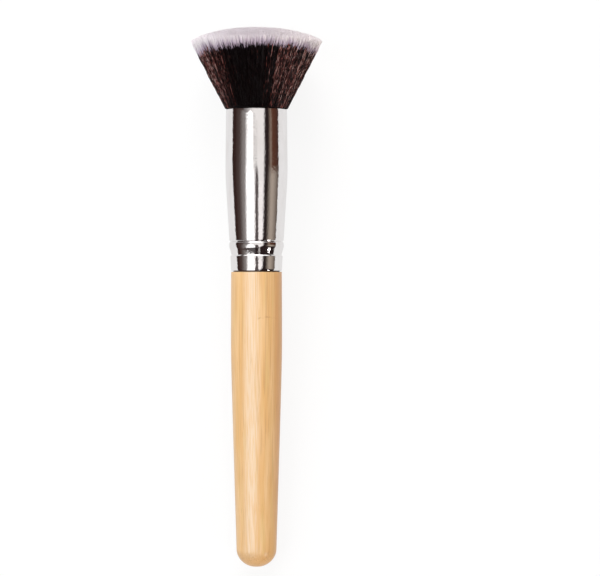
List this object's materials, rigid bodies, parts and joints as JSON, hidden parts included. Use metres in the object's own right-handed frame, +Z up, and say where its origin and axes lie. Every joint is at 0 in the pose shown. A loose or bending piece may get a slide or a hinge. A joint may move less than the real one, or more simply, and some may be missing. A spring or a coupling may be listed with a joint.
{
  "type": "foundation brush",
  "caption": "Round, flat-topped make-up brush: dense two-tone bristles that flare from a plated tapered ferrule, crimped on a turned bamboo handle with a domed butt.",
  "frame": {"origin": "middle of the brush's box, at the level of the table that it lies on", "axes": "+Y from the butt to the bristles along the brush as seen from above, +Z up from the table; the brush's own axis rises about 4.9 degrees towards the head, because the wide head and the butt touch the table"},
  "size_m": [0.0422, 0.175, 0.0417],
  "materials": {
    "bamboo": "satin clear lacquer over bamboo",
    "glue": "cured white wood glue",
    "plated_metal": "bright plating on a drawn tube",
    "resin": "clear cured resin with filament roots in it",
    "thread": "plain twisted cotton",
    "filament": "soft synthetic filament, dyed dark brown with pale undyed tips"
  },
  "bodies": {
    "root": {"handle": "bamboo", "handle_glue": "glue", "ferrule": "plated_metal", "potted_root": "resin", "root_binding": "thread", "bristles": "filament"}
  },
  "joints": []
}
